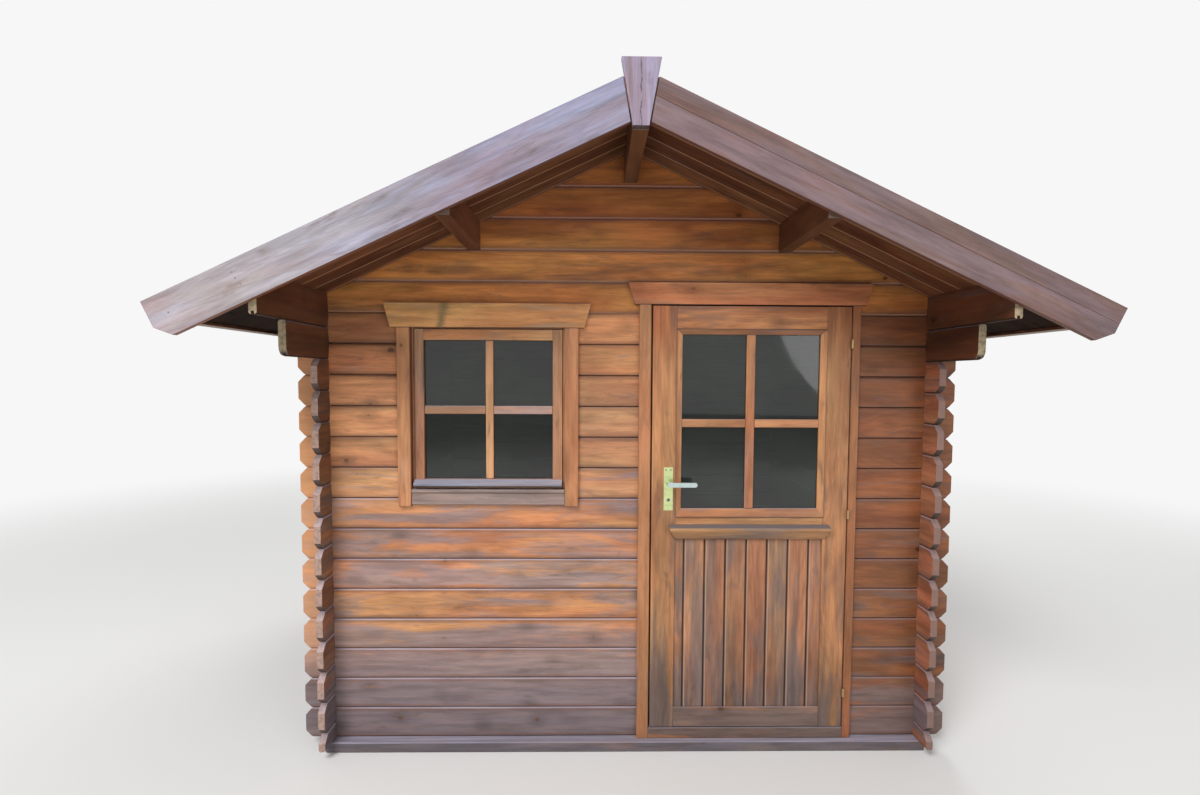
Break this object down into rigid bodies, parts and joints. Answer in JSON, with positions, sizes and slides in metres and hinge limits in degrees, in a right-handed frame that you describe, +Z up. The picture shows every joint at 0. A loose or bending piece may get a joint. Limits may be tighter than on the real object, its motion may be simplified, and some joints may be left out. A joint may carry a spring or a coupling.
{
  "type": "garden shed",
  "caption": "Small gabled garden shed of interlocking wooden planks with crossed corners, deep roof overhang, barred window and a half-glazed door that opens outward.",
  "frame": {"origin": "on the ground, under the middle of the whole shed", "axes": "+X to the right seen from the front, +Y from the front to the back, +Z up"},
  "size_m": [3.1768, 2.778, 2.5772],
  "materials": {
    "wall_log": "weathered glaze",
    "trim_wood": "weathered glaze",
    "roof_timber": "weathered glaze",
    "bare_board": "weathered bare",
    "foundation_wood": "weathered glaze",
    "floor_wood": "weathered glaze",
    "door_wood": "weathered glaze",
    "roof_felt": "mineral felt",
    "window_pane": "clear",
    "hinge_steel": "dull",
    "handle_plate": "satin champagne",
    "lever_metal": "satin"
  },
  "bodies": {
    "shed": {"end_beams": "foundation_wood", "side_beams_and_joists": "foundation_wood", "floor_boards": "floor_wood", "front_wall_lower": "wall_log", "front_wall_beside_window": "wall_log", "front_wall_right_of_door": "wall_log", "front_wall_over_door": "wall_log", "front_gable": "wall_log", "back_wall": "wall_log", "left_side_wall": "wall_log", "right_side_wall": "wall_log", "corbel_logs": "wall_log", "eave_logs": "wall_log", "roof_purlins": "roof_timber", "left_roof_boards": "roof_timber", "right_roof_boards": "roof_timber", "eave_fascias": "roof_timber", "roof_felt": "roof_felt", "ridge_strip": "roof_felt", "front_left_bargeboard": "bare_board", "front_right_bargeboard": "bare_board", "front_right_barge_strip": "bare_board", "back_bargeboards": "bare_board", "keystone_plates": "bare_board", "window_frame_jambs": "trim_wood", "window_frame_rails": "trim_wood", "window_sash_stiles": "trim_wood", "window_sash_rails": "trim_wood", "window_weather_bar": "trim_wood", "window_side_casings": "trim_wood", "window_top_casing": "trim_wood", "window_bottom_board": "trim_wood", "door_jambs": "trim_wood", "door_head_and_threshold": "trim_wood", "door_header_trim": "trim_wood", "window_glass": "window_pane", "frame_hinges": "hinge_steel"},
    "door": {"door_stiles": "door_wood", "door_rails": "door_wood", "door_panel": "door_wood", "door_glass": "window_pane", "door_drip_moulding": "door_wood", "leaf_hinges": "hinge_steel", "handle_plates": "handle_plate"},
    "door_handle": {"door_lever": "lever_metal"}
  },
  "joints": [
    {"name": "door_hinge", "type": "hinge", "parent": "shed", "child": "door", "pos_m": [0.9145, -0.8993, 0], "axis": [0, 0, 1], "range_deg": [0, 105]},
    {"name": "handle_turn", "type": "hinge", "parent": "door", "child": "door_handle", "pos_m": [0.165, -0.891, 1.137], "axis": [0, 1, 0], "range_deg": [0, 40], "stiffness_Nm_per_rad": 0.6, "springref_deg": -40.11}
  ]
}
